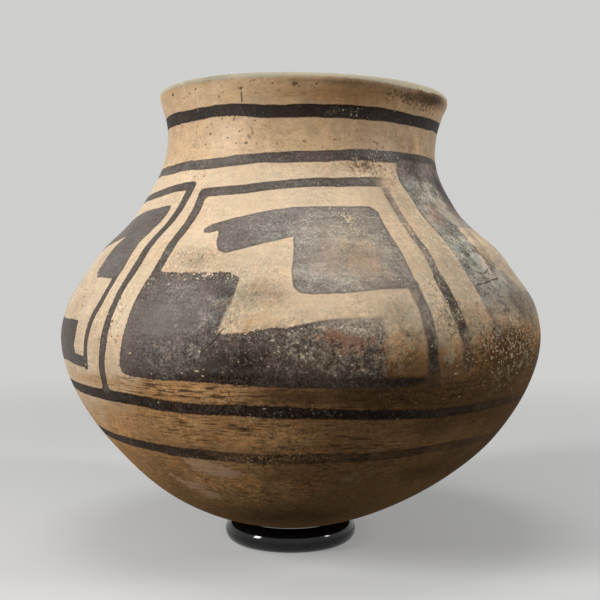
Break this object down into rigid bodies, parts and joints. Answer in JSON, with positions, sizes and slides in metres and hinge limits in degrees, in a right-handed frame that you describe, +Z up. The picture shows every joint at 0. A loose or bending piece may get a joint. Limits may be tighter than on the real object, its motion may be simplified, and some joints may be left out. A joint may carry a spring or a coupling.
{
  "type": "pottery olla on a display ring",
  "caption": "Round-bottomed hand-built clay water jar with a wide belly, short flared neck and painted panels, standing loose on a glossy ring.",
  "frame": {"origin": "on the table, at the height of the ring's flat underside, under the centre of the belly", "axes": "+Z up, -Y towards the viewer who sees the painted panel of the picture, +X to that viewer's right"},
  "size_m": [0.275, 0.275, 0.2595],
  "materials": {
    "painted_clay": "stone-burnished buff slip with dark brown-black mineral paint, worn",
    "black_gloss": "polished black"
  },
  "bodies": {
    "stand": {"display_ring": "black_gloss"},
    "jar": {"olla_jar": "painted_clay"}
  },
  "joints": [
    {"name": "jar_lift", "type": "slide", "parent": "stand", "child": "jar", "axis": [0, 0, 1], "range_m": [0, 0.08]}
  ]
}
